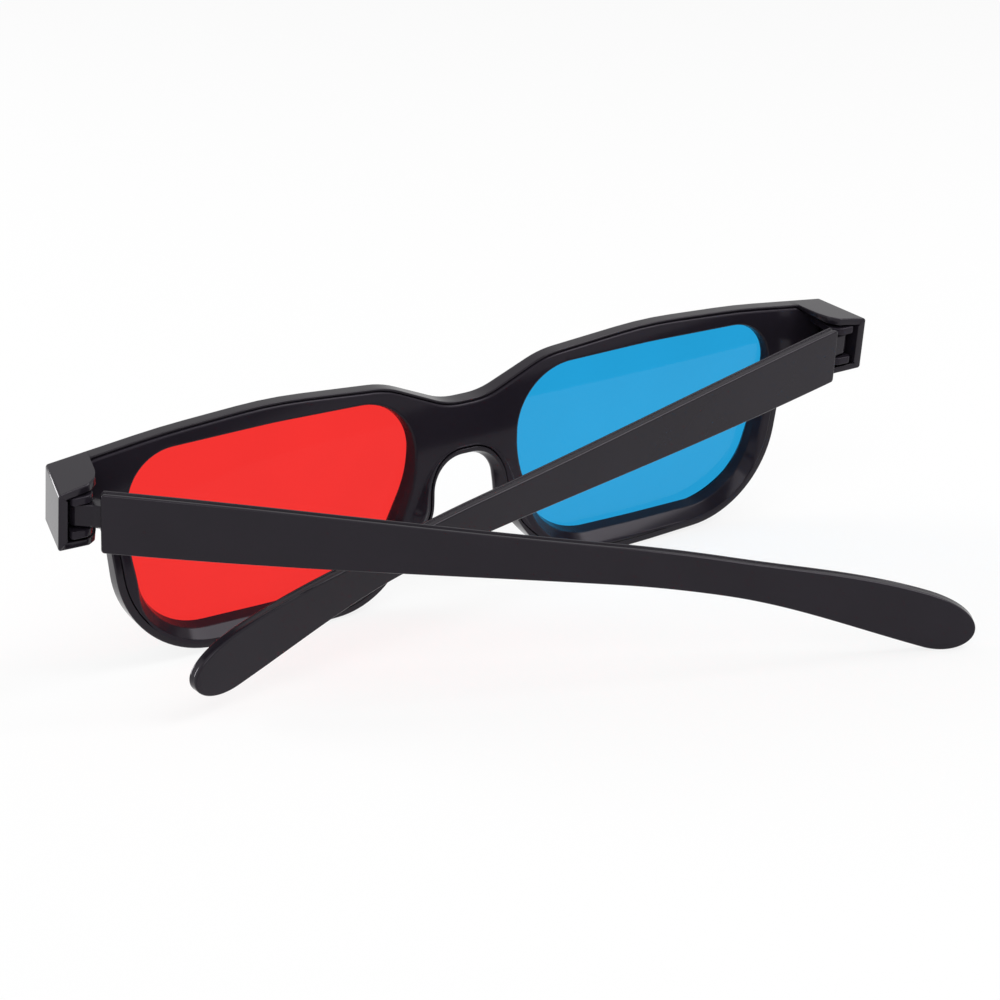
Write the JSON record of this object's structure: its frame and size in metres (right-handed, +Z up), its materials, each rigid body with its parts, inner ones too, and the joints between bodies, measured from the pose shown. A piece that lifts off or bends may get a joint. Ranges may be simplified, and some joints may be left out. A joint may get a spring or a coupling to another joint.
{
  "type": "3d glasses",
  "caption": "Anaglyph viewing glasses with a moulded front, a red and a cyan lens film, and folding temples on pinned hinges, standing half folded.",
  "frame": {"origin": "on the ground under the middle of the standing glasses", "axes": "+X to the wearer's left along the front, +Y towards the wearer, +Z up; the front leans back and faces -Y"},
  "size_m": [0.151, 0.0776, 0.0395],
  "materials": {
    "black_plastic": "moulded gloss",
    "red_film": "clear tinted film",
    "cyan_film": "clear tinted film",
    "pin_steel": "drawn wire"
  },
  "bodies": {
    "front": {"front_frame": "black_plastic", "rear_frame": "black_plastic", "red_lens": "red_film", "cyan_lens": "cyan_film", "left_hinge_pin": "pin_steel", "right_hinge_pin": "pin_steel"},
    "left_temple": {"left_temple": "black_plastic"},
    "right_temple": {"right_temple": "black_plastic"}
  },
  "joints": [
    {"name": "left_temple_fold", "type": "hinge", "parent": "front", "child": "left_temple", "pos_m": [0.0712, -0.026, 0.0303], "axis": [0, 0.1837, 0.983], "range_deg": [-61.2, 4]},
    {"name": "right_temple_fold", "type": "hinge", "parent": "front", "child": "right_temple", "pos_m": [-0.0712, -0.026, 0.0303], "axis": [0, 0.1837, 0.983], "range_deg": [-5.49, 82.5]}
  ],
  "couplings": [
    {"joint": "right_temple_fold", "follows": "left_temple_fold", "ratio": -1.3464}
  ]
}
